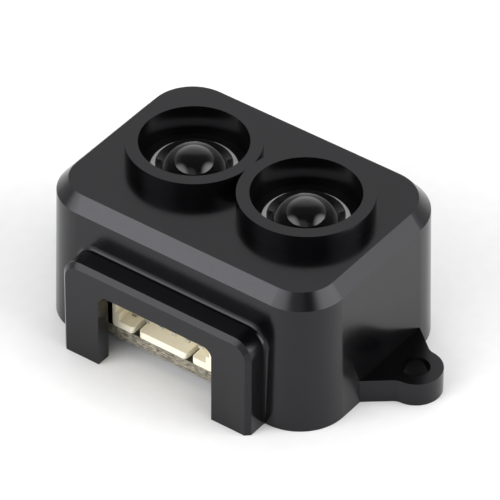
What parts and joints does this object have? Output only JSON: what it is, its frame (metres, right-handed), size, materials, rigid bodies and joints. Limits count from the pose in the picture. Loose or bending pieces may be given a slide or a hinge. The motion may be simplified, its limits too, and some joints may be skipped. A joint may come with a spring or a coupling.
{
  "type": "infrared distance sensor",
  "caption": "Small black distance sensor with paired lens barrels, a hooded cable socket and screw ears, open at the back to its circuit board.",
  "frame": {"origin": "middle of the overall footprint, on the mounting plane", "axes": "+X along the length through both screw ears, +Y away from the cable hood, +Z along the lens axes away from the mounting plane"},
  "size_m": [0.035, 0.0206, 0.014],
  "materials": {
    "case_plastic": "black moulded plastic with a fine satin texture",
    "lens_plastic": "clear polished optical plastic",
    "ring_plastic": "matt black",
    "foam": "fine-celled black foam",
    "board_laminate": "solder mask over glass-fibre laminate",
    "ceramic": "white alumina",
    "gold": "gold plated",
    "window_glass": "clear glass",
    "filter_glass": "coated filter glass, dark red",
    "chip_resin": "black moulding resin",
    "ferrite": "dark grey ferrite",
    "nickel": "nickel plated",
    "capacitor_body": "brown ceramic with tinned ends",
    "resistor_body": "black film with tinned ends",
    "socket_plastic": "cream moulded plastic",
    "tinned_contact": "bright tin plate"
  },
  "bodies": {
    "root": {"housing": "case_plastic", "emitter_lens": "lens_plastic", "receiver_lens": "lens_plastic", "emitter_lens_ring": "ring_plastic", "receiver_lens_ring": "ring_plastic", "light_baffle": "ring_plastic", "emitter_light_seal": "foam", "receiver_light_seal": "foam", "main_board": "board_laminate", "laser_emitter": "ceramic", "emitter_die": "gold", "emitter_window": "window_glass", "receiver_chip": "chip_resin", "receiver_filter": "filter_glass", "laser_driver_chip": "chip_resin", "timing_chip": "chip_resin", "mcu_chip": "chip_resin", "regulator_chip": "chip_resin", "power_inductor": "ferrite", "crystal": "nickel", "bulk_capacitors": "capacitor_body", "ceramic_capacitors": "capacitor_body", "chip_resistors": "resistor_body", "socket_shell": "socket_plastic", "socket_contact_1": "tinned_contact", "socket_contact_2": "tinned_contact", "socket_contact_3": "tinned_contact", "socket_contact_4": "tinned_contact", "socket_contact_5": "tinned_contact", "socket_contact_6": "tinned_contact", "socket_anchor_left": "tinned_contact", "socket_anchor_right": "tinned_contact", "board_screws": "nickel"}
  },
  "joints": []
}
